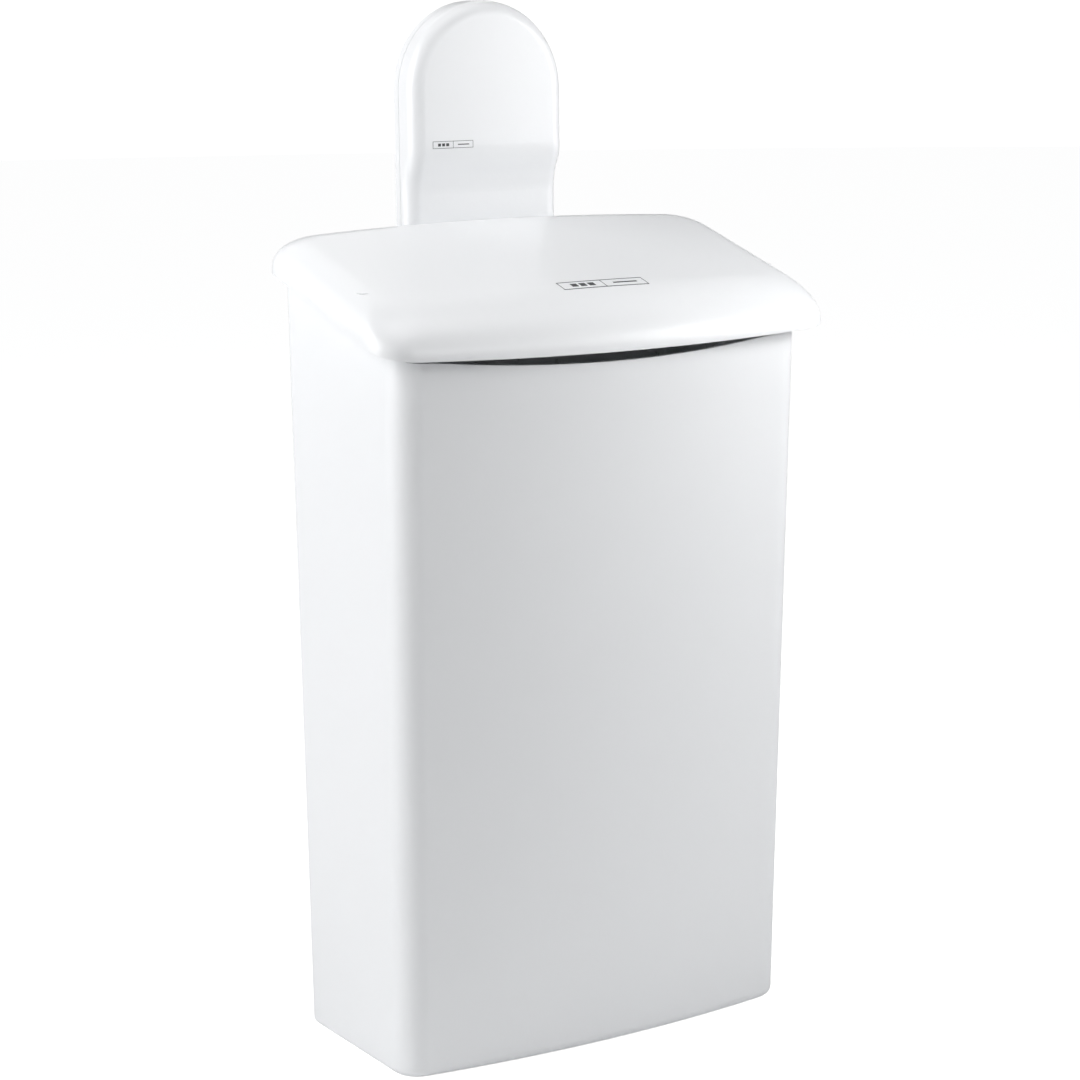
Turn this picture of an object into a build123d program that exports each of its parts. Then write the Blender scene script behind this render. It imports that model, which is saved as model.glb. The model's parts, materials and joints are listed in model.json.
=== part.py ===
from build123d import *
import math
import os

# Wall-mounted waste bin with a lift-up lid and a bag dispenser that rises behind it.
# Millimetres, +Z up, the bin's front faces -Y. The origin is on the floor, in the middle of
# the whole object's footprint; the wall plane is at y = WALL_Y.

# ---- driving dimensions ----
WALL_Y = 97.0            # the wall, and the back of the wall unit
WALL_GAP = 18.5          # from the wall to the bin's flat back
FOOT_H = 1.0             # how far the rubber feet stand out of the base
WALL_T = 2.8             # bin wall

BIN_W_BASE, BIN_W_TOP = 300.0, 307.3
BIN_D_BASE, BIN_D_TOP = 144.7, 165.4
BIN_TOP_Z = 521.0        # height of the upper widths and depths, above the highest rim point
FRONT_BOW_R = 900.0      # plan radius of the bowed front
FRONT_CORNER_R, BACK_CORNER_R = 19.5, 6.5
BASE_EDGE_R = 6.0
MIN_CORNER_R = 1.5       # the smallest inner corner of the mould

LID_HALF_W = 170.0
LID_DEPTH = 175.5
LID_BOW = 12.5
LID_BACK_INSET = 1.0     # the lid's back face stands this far in front of the bin's back
LID_SLOPE = 0.2928       # rise per mm towards the back
LID_FRONT_Z = 468.9      # lower rim at the front centre
LID_T_MID, LID_T_SIDE = 27.0, 21.5
LID_WALL = 2.6
LID_CORNER_R, LID_BACK_CORNER_R, LID_EDGE_R = 25.0, 20.0, 14.0
RIM_DROP = 6.9           # the bin's front rim lies this far under the lid's rim
RIM_RISE = 1.5           # and its side rims stand this far up inside the lid
RIM_BACK_Z = 513.0       # the rim is level at the back, clear of the swinging lid

SCOOP_HALF, SCOOP_EDGE_Z, SCOOP_MID_Z = 145.0, 470.5, 461.3
SCOOP_BACK, SCOOP_CUT_H = 140.0, 30.0   # how far behind the front and how high its cut reaches

HINGE_BACK, HINGE_Z = 12.0, 531.0   # axis: distance in front of the bin's back, and height
HINGE_X = 118.0
BARREL_R, PIN_R, PIN_PLAY, PIN_GRIP = 5.0, 2.0, 0.05, 0.02
BARREL_HALF, EAR_GAP, EAR_T = 10.0, 0.5, 4.5

FRAME_Z, FRAME_H = 446.0, 6.0
FRAME_OUT, FRAME_IN = 4.4, 13.0     # insets of the bag frame's ring from the bin's outside

DISP_R = 59.0            # half width of the dispenser, and the radius of its round top
DISP_ARC_Z = 628.1
DISP_FRONT = 7.5         # the front face stands this far in front of the bin's back
NECK_BACK = 1.0          # the neck's face lies this far behind the bin's back
NECK_LOW_Z, NECK_TOP_Z = 560.0, 592.0
COVER_Z, SPLIT_BACK = 535.5, 12.0   # the cover's lower edge, and where it meets the back
COVER_T, COVER_EDGE_R = 2.2, 9.5
PIVOT_BACK, PIVOT_Z, PIVOT_R = 8.0, 541.0, 2.0

FIT = 0.1                # play between parts that are screwed or rest together
HAIR = 0.05              # play between a screw head and what it clamps

# ---- derived places ----
BACK_Y = WALL_Y - WALL_GAP
BASE_Z = FOOT_H
TILT = math.degrees(math.atan(LID_SLOPE))
LID_BACK_Z = LID_FRONT_Z + LID_SLOPE * LID_DEPTH
HINGE_Y = BACK_Y - HINGE_BACK
PIVOT_Y = BACK_Y + PIVOT_BACK
BIG = 700.0              # larger than the object, for cutting solids


def lid_rim_z(y):
    """Height of the lid's lower rim plane at a depth y."""
    return LID_BACK_Z - LID_SLOPE * (BACK_Y - y)


def box(x0, x1, y0, y1, z0, z1):
    """A box between two corners."""
    return Pos((x0 + x1) / 2, (y0 + y1) / 2, (z0 + z1) / 2) * Box(x1 - x0, y1 - y0, z1 - z0)


def rod_x(x0, x1, y, z, r):
    """A round bar along X."""
    return Pos((x0 + x1) / 2, y, z) * Rot(0, 90, 0) * Cylinder(r, x1 - x0)


def rod_y(x, y0, y1, z, r):
    """A round bar along Y."""
    return Pos(x, (y0 + y1) / 2, z) * Rot(90, 0, 0) * Cylinder(r, y1 - y0)


def rod_z(x, y, z0, z1, r):
    """A round bar along Z."""
    return Pos(x, y, (z0 + z1) / 2) * Cylinder(r, z1 - z0)


def bowed_outline(half, front, back, bow, front_r, back_r):
    """Plan outline with a flat back, straight sides and a front bowed outwards."""
    side = front + bow
    line = Polyline((-half, side), (-half, back), (half, back), (half, side))
    line += ThreePointArc((half, side), (0, front), (-half, side))
    face = make_face(line)
    face = fillet(face.vertices().group_by(Axis.Y)[0], front_r)
    return fillet(face.vertices().group_by(Axis.Y)[-1], back_r)


def bin_half_width(z):
    """Half the bin's outside width at a height."""
    t = (z - BASE_Z) / (BIN_TOP_Z - BASE_Z)
    return (BIN_W_BASE + t * (BIN_W_TOP - BIN_W_BASE)) / 2


def bin_front_y(z):
    """The front face's place at x = 0, at a height."""
    t = (z - BASE_Z) / (BIN_TOP_Z - BASE_Z)
    return BACK_Y - BIN_D_BASE - t * (BIN_D_TOP - BIN_D_BASE)


def upright_edges(shape):
    """The edges of a shape that run mostly up and down."""
    return shape.edges().filter_by(lambda e: abs(e.tangent_at(0.5).Z) > 0.9)


def bin_form(z0, z1, inset):
    """The bin's drafted shape as a filled solid between two heights, inset all round."""
    x0, x1 = bin_half_width(z0) - inset, bin_half_width(z1) - inset
    sides = make_face(Polyline((-x0, z0), (x0, z0), (x1, z1), (-x1, z1), close=True))
    back = Plane(origin=(0, BACK_Y - inset, 0), x_dir=(1, 0, 0), z_dir=(0, -1, 0))
    wedge = extrude(back * sides, 1.5 * BIN_D_TOP)
    disc = Pos(0, bin_front_y(z0) + FRONT_BOW_R, z0) * Circle(FRONT_BOW_R - inset)
    lean = Vector(0, bin_front_y(z1) - bin_front_y(z0), z1 - z0)
    form = wedge & extrude(disc, lean.length, dir=lean)
    form = fillet(upright_edges(form).group_by(Axis.Y)[0], FRONT_CORNER_R - inset)
    return fillet(upright_edges(form).group_by(Axis.Y)[-1], max(BACK_CORNER_R - inset, MIN_CORNER_R))


def slope_plane(z_back):
    """A plane parallel to the lid's rim, at a height at the bin's back."""
    return Plane(origin=(0, BACK_Y, z_back), x_dir=(1, 0, 0), z_dir=(0, -LID_SLOPE, 1))


def above(z_back):
    """Everything above a plane parallel to the lid's rim."""
    return slope_plane(z_back) * Box(BIG, BIG, BIG, align=(Align.CENTER, Align.CENTER, Align.MIN))


def below(z_back):
    """Everything below a plane parallel to the lid's rim."""
    return slope_plane(z_back) * Box(BIG, BIG, BIG, align=(Align.CENTER, Align.CENTER, Align.MAX))


# ---- bin ----
LEDGE_YS = (BACK_Y - 38.0, BACK_Y - 112.0)
LEDGE_REACH, LEDGE_HALF, LEDGE_H = 8.5, 9.0, 9.0
LEDGE_ROOT = BIN_W_TOP / 2 - WALL_T / 2 - 0.6   # where a ledge starts, inside the wall's thickness
RIM_FRONT_D, RIM_STEP_D, RIM_RISE_D = 220.0, 130.0, 118.0   # depths where the rim changes slope
RIM_LEVEL_D, RIM_BACK_D = 32.0, 26.0
HOOK_X, HOOK_Z, HOOK_W = 42.0, 424.0, 22.0
HOOK_SCREW_DZ = 9.0
BRACKET_PLATE_Z0, BRACKET_PLATE_Z1, BRACKET_PLATE_T = 466.0, 511.0, 3.0
BRACKET_SCREW_ZS = (474.0, 490.0)
STEM_HALF, STEM_LOW_Z, STEM_TOP_Z = 3.0, 480.0, 502.0   # the gusset under a bracket's barrel
SCREW_R, HEAD_R, SCREW_PLAY, HEAD_PLAY = 2.0, 3.8, 0.1, 0.4
HEAD_H, HEAD_EDGE_R, DRIVE_L, DRIVE_W, DRIVE_H = 2.2, 1.0, 5.2, 0.8, 1.2   # a pan head and its cross slot


def over_rim():
    """Everything above the bin's rim: low at the front, raised inside the lid, level at the back."""
    low_front = [(d, lid_rim_z(BACK_Y - d) - RIM_DROP) for d in (RIM_FRONT_D, RIM_STEP_D)]
    raised = [(d, lid_rim_z(BACK_Y - d) + RIM_RISE) for d in (RIM_RISE_D, RIM_LEVEL_D)]
    back = [(RIM_BACK_D, RIM_BACK_Z), (-WALL_GAP, RIM_BACK_Z), (-WALL_GAP, BIG), (RIM_FRONT_D, BIG)]
    points = [(BACK_Y - d, z) for d, z in low_front + raised + back]
    return side_plate(points, -BIG / 2, BIG / 2)


def scoop():
    """The dip in the front rim that leaves room for fingers under the lid."""
    top = SCOOP_EDGE_Z + SCOOP_CUT_H
    line = ThreePointArc((-SCOOP_HALF, SCOOP_EDGE_Z), (0, SCOOP_MID_Z), (SCOOP_HALF, SCOOP_EDGE_Z))
    line += Polyline((SCOOP_HALF, SCOOP_EDGE_Z), (SCOOP_HALF, top), (-SCOOP_HALF, top),
                     (-SCOOP_HALF, SCOOP_EDGE_Z))
    start = Plane(origin=(0, BACK_Y - SCOOP_BACK, 0), x_dir=(1, 0, 0), z_dir=(0, -1, 0))
    return extrude(start * make_face(line), BIN_D_TOP - SCOOP_BACK + LID_DEPTH / 5)


def bin_body():
    """The moulded shell: drafted walls, rounded base, sloping rim with a finger scoop."""
    outer = bin_form(BASE_Z, BIN_TOP_Z, 0.0)
    outer = fillet(outer.edges().group_by(Axis.Z)[0], BASE_EDGE_R)
    inner = bin_form(BASE_Z + WALL_T, BIN_TOP_Z + 1.0, WALL_T)
    inner = fillet(inner.edges().group_by(Axis.Z)[0], BASE_EDGE_R - WALL_T)
    ledges, holes = [], []
    for side in (-1, 1):
        x0, x1 = sorted((side * LEDGE_ROOT, side * (LEDGE_ROOT - LEDGE_REACH)))
        ledges += [box(x0, x1, y - LEDGE_HALF, y + LEDGE_HALF, FRAME_Z - LEDGE_H, FRAME_Z - FIT)
                   for y in LEDGE_YS]
        screws = [(side * HINGE_X, z) for z in BRACKET_SCREW_ZS]
        screws += [(side * HOOK_X, HOOK_Z + dz) for dz in (-HOOK_SCREW_DZ, HOOK_SCREW_DZ)]
        holes += [rod_y(x, BACK_Y - 5 * WALL_T, BACK_Y + WALL_T, z, SCREW_R + SCREW_PLAY)
                  for x, z in screws]
    shell = (outer - inner - holes) + ledges
    return shell - over_rim() - scoop()


FOOT_X, FOOT_FRONT, FOOT_BACK, FOOT_R = 118.0, 112.0, 24.0, 9.0


def rubber_feet():
    """Four round pads under the base."""
    pads = [rod_z(side * FOOT_X, BACK_Y - d, 0, FOOT_H, FOOT_R)
            for side in (-1, 1) for d in (FOOT_FRONT, FOOT_BACK)]
    return Compound([chamfer(pad.edges().group_by(Axis.Z)[0], 0.4) for pad in pads])


BUFFER_X, BUFFER_HALF, BUFFER_Z0, BUFFER_Z1, BUFFER_GAP = 96.0, 16.0, 62.0, 92.0, 0.5


def rear_buffers():
    """Two blocks on the lower back that keep the bin upright against the wall."""
    blocks = []
    for x in (-BUFFER_X, BUFFER_X):
        block = box(x - BUFFER_HALF, x + BUFFER_HALF, BACK_Y, WALL_Y - BUFFER_GAP, BUFFER_Z0, BUFFER_Z1)
        blocks.append(fillet(block.edges().group_by(Axis.Y)[-1], 3.0))
    return Compound(blocks)


def bag_frame():
    """The ring that rests on the bin's ledges and holds the liner bag open."""
    ring = bin_form(FRAME_Z, FRAME_Z + FRAME_H, FRAME_OUT)
    ring -= bin_form(FRAME_Z - 1, FRAME_Z + FRAME_H + 1, FRAME_IN)
    return fillet(ring.edges().group_by(Axis.Z)[-1], 1.5)


BAG_Z0, BAG_INSET, BAG_T = 16.0, FRAME_IN + 0.8, 0.8


def liner_bag():
    """The waste liner: an open bag folded outwards over the frame's ring."""
    top = FRAME_Z + FRAME_H + 0.3
    collar = bin_form(FRAME_Z, top + BAG_T, FRAME_OUT + 2)
    collar &= box(-BIG, BIG, -BIG, BIG, top, top + BAG_T)
    bag = bin_form(BAG_Z0, top + BAG_T / 2, BAG_INSET) + collar
    return bag - bin_form(BAG_Z0 + BAG_T, top + 2, BAG_INSET + BAG_T)


def bracket_profile():
    """Side outline of a hinge bracket, as (distance in front of the bin's back, height)."""
    face_back = WALL_T + FIT
    plate = face_back + BRACKET_PLATE_T
    stem_back, stem_front = HINGE_BACK - STEM_HALF, HINGE_BACK + STEM_HALF
    pts = [(face_back, BRACKET_PLATE_Z0), (plate, BRACKET_PLATE_Z0), (plate, STEM_LOW_Z),
           (stem_front, STEM_TOP_Z), (stem_front, HINGE_Z), (stem_back, HINGE_Z),
           (stem_back, BRACKET_PLATE_Z1), (face_back, BRACKET_PLATE_Z1)]
    return [(BACK_Y - d, z) for d, z in pts]


def side_plate(points, x0, x1):
    """A plate with a (y, z) outline, between two x values."""
    face = Plane.YZ * make_face(Polyline(*points, close=True))
    return Pos(x0, 0, 0) * extrude(face, x1 - x0, dir=(1, 0, 0))


LEAF_HALF = BARREL_HALF + EAR_GAP + EAR_T
LEAF_FRONT = 44.0
BRACKET_SEAT_Y = BACK_Y - WALL_T - FIT - BRACKET_PLATE_T


def hinge_bracket(side):
    """A bracket screwed inside the bin's back wall; its barrel holds the hinge pin."""
    x = side * HINGE_X
    part = side_plate(bracket_profile(), x - BARREL_HALF, x + BARREL_HALF)
    part += rod_x(x - BARREL_HALF, x + BARREL_HALF, HINGE_Y, HINGE_Z, BARREL_R)
    part -= rod_x(x - LEAF_HALF, x + LEAF_HALF, HINGE_Y, HINGE_Z, PIN_R + PIN_GRIP)
    for z in BRACKET_SCREW_ZS:
        part -= rod_y(x, BACK_Y - LEAF_FRONT, BACK_Y, z, SCREW_R + SCREW_PLAY)
        part -= rod_y(x, BACK_Y - LEAF_FRONT, BRACKET_SEAT_Y, z, HEAD_R + HEAD_PLAY)
    return part


def hinge_pin(side):
    """A steel pin through the bracket's barrel and both ears of the lid's leaf."""
    x = side * HINGE_X
    half = BARREL_HALF + EAR_GAP + EAR_T + 1.0
    pin = rod_x(x - half, x + half, HINGE_Y, HINGE_Z, PIN_R)
    return chamfer(pin.edges(), 0.4)


def screw_y(x, y_head, z, length):
    """A pan-head screw along Y, with its head in front of y_head and its shank behind."""
    top_y = y_head - HEAD_H
    head = rod_y(x, top_y, y_head, z, HEAD_R)
    head = fillet(head.edges().group_by(Axis.Y)[0], HEAD_EDGE_R)
    for half_x, half_z in ((DRIVE_L / 2, DRIVE_W / 2), (DRIVE_W / 2, DRIVE_L / 2)):
        head -= box(x - half_x, x + half_x, top_y - HEAD_H, top_y + DRIVE_H, z - half_z, z + half_z)
    return head + rod_y(x, y_head, y_head + length, z, SCREW_R)


BRACKET_SCREW_L, HOOK_SCREW_L, FOOT_SCREW_L = 7.0, 6.0, 5.2


def bracket_screws():
    """Four screws that hold the hinge brackets to the bin's back wall."""
    return Compound([screw_y(side * HINGE_X, BRACKET_SEAT_Y - HAIR, z, BRACKET_SCREW_L)
                     for side in (-1, 1) for z in BRACKET_SCREW_ZS])


HOOK_T, HOOK_REACH, HOOK_FOOT, HOOK_NOSE, HOOK_LIFT = 2.0, 11.0, 16.0, 9.0, 1.2
RAIL_TOP_Z = 436.0


def hanger_hook(side):
    """A bent steel hook on the bin's back that drops behind the wall bracket's rail."""
    x = side * HOOK_X
    y0, y1, y2, y3 = (BACK_Y + d for d in (HAIR, HAIR + HOOK_T, HOOK_REACH, HOOK_REACH + HOOK_T))
    foot_z, nose_z = HOOK_Z - HOOK_FOOT, RAIL_TOP_Z - HOOK_NOSE
    under_z, top_z = RAIL_TOP_Z + HOOK_LIFT, RAIL_TOP_Z + HOOK_LIFT + HOOK_T
    pts = [(y0, foot_z), (y1, foot_z), (y1, under_z), (y2, under_z),
           (y2, nose_z), (y3, nose_z), (y3, top_z), (y0, top_z)]
    part = side_plate(pts, x - HOOK_W / 2, x + HOOK_W / 2)
    for dz in (-HOOK_SCREW_DZ, HOOK_SCREW_DZ):
        part -= rod_y(x, BACK_Y - HOOK_T, BACK_Y + 2 * HOOK_T, HOOK_Z + dz, SCREW_R + SCREW_PLAY)
    return part


def hook_screws():
    """Four screws from inside the bin that hold the hanger hooks."""
    return Compound([screw_y(side * HOOK_X, BACK_Y - WALL_T - HAIR, HOOK_Z + dz, HOOK_SCREW_L)
                     for side in (-1, 1) for dz in (-HOOK_SCREW_DZ, HOOK_SCREW_DZ)])


# ---- lid ----
LID_SKIRT = 60.0         # how far the filled shape reaches below the rim before it is cut


def lid_form(inset):
    """The lid as a filled cushion shape, inset from its outside and open towards the floor."""
    outline = bowed_outline(LID_HALF_W - inset, BACK_Y - LID_DEPTH + inset,
                            BACK_Y - LID_BACK_INSET - inset, LID_BOW,
                            LID_CORNER_R - inset, LID_BACK_CORNER_R - inset)
    prism = Pos(0, 0, LID_FRONT_Z - LID_DEPTH / 2) * extrude(outline, LID_DEPTH)
    side_t, mid_t = LID_T_SIDE - inset, LID_T_MID - inset
    line = ThreePointArc((LID_HALF_W, side_t), (0, mid_t), (-LID_HALF_W, side_t))
    line += Polyline((-LID_HALF_W, side_t), (-LID_HALF_W, -LID_SKIRT), (LID_HALF_W, -LID_SKIRT),
                     (LID_HALF_W, side_t))
    slope = Plane(origin=(0, BACK_Y, LID_BACK_Z), x_dir=(1, 0, 0), z_dir=(0, -1, -LID_SLOPE))
    form = prism & extrude(slope * make_face(line), 1.5 * LID_DEPTH, both=True)
    top_edges = [e for e in form.edges()
                 if e.center().Z > lid_rim_z(e.center().Y) + side_t / 2 and not is_upright(e)]
    return fillet(top_edges, LID_EDGE_R - inset)


def is_upright(edge):
    """True for a straight vertical edge."""
    return abs(edge.tangent_at(0.5).Z) > 0.99 and edge.geom_type == GeomType.LINE


BUMPER_X, BUMPER_D, BUMPER_R, BUMPER_H, BUMPER_GAP = 151.8, 108.0, 4.0, 4.0, 1.6
RIB_XS, RIB_T, RIB_H = (-75.0, 0.0, 75.0), 1.6, 5.0
RIB_FRONT, RIB_BACK = 160.0, 20.0
LEAF_SCREW_D, LEAF_SCREW_END = (26.0, 37.0), 3.8
BOSS_R, BOSS_H, BOSS_HOLE_H = 4.2, 12.0, 4.2
LEAF_UNDER_TOP = 4.5     # the leaf's upper face lies this far under the lid's top at its sides
LEAF_BACK_Z = LID_BACK_Z + LID_T_SIDE / math.cos(math.radians(TILT)) - LEAF_UNDER_TOP
LEAF_T = 3.0
NOTCH_PLAY = 1.0


def bumper_top_z():
    """Height where the lid's bumper posts end."""
    return lid_rim_z(BACK_Y - BUMPER_D) + RIM_RISE + BUMPER_GAP + BUMPER_H


def leaf_top_z(d):
    """Height of the hinge leaf's upper face at a distance in front of the bin's back."""
    return LEAF_BACK_Z - LID_SLOPE * d


def slope_rod(side, d, h0, h1, r):
    """A round bar square to the hinge leaf, between two heights over its upper face."""
    seat = Plane(origin=(side * HINGE_X, BACK_Y - d, leaf_top_z(d)), x_dir=(1, 0, 0),
                 z_dir=(0, -LID_SLOPE, 1))
    return seat * (Pos(0, 0, (h0 + h1) / 2) * Cylinder(r, h1 - h0))


def hinge_notch(side):
    """Clearance in the lid's back wall for a hinge bracket over the lid's whole travel."""
    x = side * HINGE_X
    half = BARREL_HALF + EAR_GAP
    cut = rod_x(x - half, x + half, HINGE_Y, HINGE_Z, BARREL_R + NOTCH_PLAY)
    front, top = HINGE_Y - STEM_HALF - 1.5 * NOTCH_PLAY, HINGE_Z + STEM_HALF + NOTCH_PLAY / 5
    return cut + box(x - half, x + half, front, WALL_Y, LID_BACK_Z - LEAF_FRONT / 2, top)


def lid_shell():
    """The moulded lid: a hollow cushion shape with ribs, screw bosses and bumper posts."""
    inner = lid_form(LID_WALL)
    shell = lid_form(0.0) - inner
    shell -= below(LID_BACK_Z)
    inside = inner - below(LID_BACK_Z)
    ribs = inside - Pos(0, 0, -RIB_H) * inside
    for x in RIB_XS:
        shell += ribs & box(x - RIB_T / 2, x + RIB_T / 2, BACK_Y - RIB_FRONT, BACK_Y - RIB_BACK, 0, BIG)
    for side in (-1, 1):
        post = rod_z(side * BUMPER_X, BACK_Y - BUMPER_D, bumper_top_z(), BIG, BUMPER_R)
        shell += post & inside
        for d in LEAF_SCREW_D:
            shell += slope_rod(side, d, FIT, BOSS_H, BOSS_R) & inside
            shell -= slope_rod(side, d, -LEAF_T, BOSS_HOLE_H, SCREW_R + SCREW_PLAY)
        shell -= hinge_notch(side)
    return shell


EAR_PLAY_R = 9.0         # the leaf's plate keeps this far from the hinge axis
EAR_TOP = BARREL_R - FIT
KNEE_BACK, KNEE_DROP = 20.0, 10.0


def leaf_plate_profile():
    """Side outline of the leaf's plate, parallel to the lid's top."""
    back, front = BACK_Y - HINGE_BACK, BACK_Y - LEAF_FRONT
    back_z, front_z = leaf_top_z(HINGE_BACK), leaf_top_z(LEAF_FRONT)
    return [(back, back_z), (front, front_z), (front, front_z - LEAF_T), (back, back_z - LEAF_T)]


def leaf_ear_profile():
    """Side outline of an ear, from the leaf's front edge to the hinge axis."""
    front, front_z = BACK_Y - LEAF_FRONT, leaf_top_z(LEAF_FRONT)
    knee = (BACK_Y - KNEE_BACK, leaf_top_z(KNEE_BACK) - KNEE_DROP)
    return [(HINGE_Y + STEM_HALF, HINGE_Z), (HINGE_Y, HINGE_Z + EAR_TOP), (front, front_z),
            (front, front_z - LEAF_T), knee, (HINGE_Y, HINGE_Z - EAR_TOP)]


def hinge_leaf(side):
    """The lid's half of a hinge: two ears on a plate that is screwed under the lid."""
    x = side * HINGE_X
    ear_in = BARREL_HALF + EAR_GAP
    part = side_plate(leaf_plate_profile(), x - LEAF_HALF, x + LEAF_HALF)
    part -= rod_x(x - ear_in, x + ear_in, HINGE_Y, HINGE_Z, EAR_PLAY_R)
    for ear_side in (-1, 1):
        x0, x1 = sorted((x + ear_side * ear_in, x + ear_side * LEAF_HALF))
        part += side_plate(leaf_ear_profile(), x0, x1) + rod_x(x0, x1, HINGE_Y, HINGE_Z, BARREL_R)
    part -= rod_x(x - LEAF_HALF, x + LEAF_HALF, HINGE_Y, HINGE_Z, PIN_R + PIN_PLAY)
    for d in LEAF_SCREW_D:
        part -= slope_rod(side, d, -2 * LEAF_T, LEAF_T, SCREW_R + SCREW_PLAY)
    return part


def leaf_screws():
    """Four screws that hold the hinge leaves to the lid's bosses."""
    screws = []
    for side in (-1, 1):
        for d in LEAF_SCREW_D:
            seat = -LEAF_T - HAIR
            head = slope_rod(side, d, seat - HEAD_H, seat, HEAD_R)
            head = fillet(head.edges().group_by(Axis.Z)[0], HEAD_EDGE_R)
            screws.append(head + slope_rod(side, d, seat, LEAF_SCREW_END, SCREW_R))
    return Compound(screws)


def lid_bumpers():
    """Two rubber pads under the lid that land on the bin's rim."""
    z1 = bumper_top_z() - HAIR
    pads = [rod_z(side * BUMPER_X, BACK_Y - BUMPER_D, z1 - BUMPER_H, z1, BUMPER_R)
            for side in (-1, 1)]
    return Compound([pad & above(LID_BACK_Z + RIM_RISE + 3 * FIT) for pad in pads])


# ---- wall unit with the bag dispenser ----
BRACKET_HALF_W, BRACKET_Z0, BRACKET_Z1 = 72.0, 372.0, 500.0
BRACKET_T, BRACKET_CORNER_R = 2.5, 8.0
WALL_HOLE_X, WALL_HOLE_ZS, WALL_HOLE_R = 56.0, (386.0, 476.0), 2.75
RAIL_HALF_W, RAIL_FRONT, RAIL_T, RAIL_DEPTH = 62.0, 6.6, 2.0, 22.0
DISP_FOOT_Z = 470.0
DISP_SCREW_X, DISP_SCREW_Z = 26.0, 484.0


def wall_bracket():
    """The steel plate on the wall, with a rail that carries the bin's hooks."""
    plate = box(-BRACKET_HALF_W, BRACKET_HALF_W, WALL_Y - BRACKET_T, WALL_Y, BRACKET_Z0, BRACKET_Z1)
    plate = fillet(plate.edges().filter_by(Axis.Y), BRACKET_CORNER_R)
    lip_y, floor_z = BACK_Y + RAIL_FRONT, RAIL_TOP_Z - RAIL_DEPTH
    plate += box(-RAIL_HALF_W, RAIL_HALF_W, lip_y, WALL_Y - BRACKET_T, floor_z - RAIL_T, floor_z)
    plate += box(-RAIL_HALF_W, RAIL_HALF_W, lip_y, lip_y + RAIL_T, floor_z - RAIL_T, RAIL_TOP_Z)
    for x in (-WALL_HOLE_X, WALL_HOLE_X):
        for z in WALL_HOLE_ZS:
            plate -= rod_y(x, BACK_Y, WALL_Y + BRACKET_T, z, WALL_HOLE_R)
    for x in (-DISP_SCREW_X, DISP_SCREW_X):
        plate -= rod_y(x, BACK_Y, WALL_Y + BRACKET_T, DISP_SCREW_Z, SCREW_R + SCREW_PLAY)
    return plate


def tongue(inset, z0, d_front, d_back):
    """The dispenser's round-topped outline between two depths behind the bin's back."""
    r = DISP_R - inset
    line = Polyline((r, DISP_ARC_Z), (r, z0), (-r, z0), (-r, DISP_ARC_Z))
    line += ThreePointArc((-r, DISP_ARC_Z), (0, DISP_ARC_Z + r), (r, DISP_ARC_Z))
    start = Plane(origin=(0, BACK_Y + d_back, 0), x_dir=(1, 0, 0), z_dir=(0, -1, 0))
    return extrude(start * make_face(line), d_back - d_front)


def front_profile(inset, z0):
    """Side solid behind the dispenser's front face, which steps back at the neck in an S."""
    front, neck = BACK_Y - DISP_FRONT + inset, BACK_Y + NECK_BACK + inset
    top_z, behind = DISP_ARC_Z + 2 * DISP_R, WALL_Y + WALL_GAP
    mid_y, mid_z = (front + neck) / 2, (NECK_LOW_Z + NECK_TOP_Z) / 2
    line = Polyline((neck, NECK_LOW_Z), (neck, z0), (behind, z0), (behind, top_z), (front, top_z),
                    (front, NECK_TOP_Z))
    line += TangentArc((front, NECK_TOP_Z), (mid_y, mid_z), tangent=(0, -1))
    line += TangentArc((neck, NECK_LOW_Z), (mid_y, mid_z), tangent=(0, 1))
    return Pos(-2 * DISP_R, 0, 0) * extrude(Plane.YZ * make_face(line), 4 * DISP_R, dir=(1, 0, 0))


def is_cross_edge(edge):
    """True for a straight edge along X, such as the cover's lower edge."""
    return edge.geom_type == GeomType.LINE and abs(edge.tangent_at(0.5).X) > 0.99


def cover_form(inset, z0):
    """The dispenser cover as a filled shape, inset from its outside."""
    form = tongue(inset, z0, -DISP_R, SPLIT_BACK + 2 * inset) & front_profile(inset, z0 - COVER_EDGE_R)
    front_y = BACK_Y + NECK_BACK + inset + FIT
    rounded = [e for e in form.edges() if e.center().Y < front_y and not is_cross_edge(e)]
    return fillet(rounded, COVER_EDGE_R - inset)


SLOT_Z0, SLOT_Z1, SLOT_D0, SLOT_D1 = 583.0, 637.0, -1.5, 8.5
PIVOT_ARM_R = 3.9
SLOT_CORNER_R = 4.5
COVER_BOSS_X, COVER_BOSS_W = DISP_R - COVER_T - 2.4, 5.0


def dispenser_cover():
    """The front shell of the dispenser, which tips forward about pins in the neck."""
    cover = cover_form(0.0, COVER_Z) - cover_form(COVER_T, COVER_Z - COVER_EDGE_R)
    slot = box(DISP_R / 2, 2 * DISP_R, BACK_Y + SLOT_D0, BACK_Y + SLOT_D1, SLOT_Z0, SLOT_Z1)
    cover -= fillet(slot.edges().filter_by(Axis.X), SLOT_CORNER_R)
    heel = box(-2 * DISP_R, 2 * DISP_R, PIVOT_Y, WALL_Y, COVER_Z - COVER_T, PIVOT_Z)
    cover -= heel - rod_x(-2 * DISP_R, 2 * DISP_R, PIVOT_Y, PIVOT_Z, PIVOT_ARM_R)
    for x in (-COVER_BOSS_X, COVER_BOSS_X):
        cover += rod_x(x - COVER_BOSS_W / 2, x + COVER_BOSS_W / 2, PIVOT_Y, PIVOT_Z, PIVOT_ARM_R)
    reach = DISP_R - COVER_T / 2
    return cover - rod_x(-reach, reach, PIVOT_Y, PIVOT_Z, PIVOT_R + PIN_PLAY)


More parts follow.
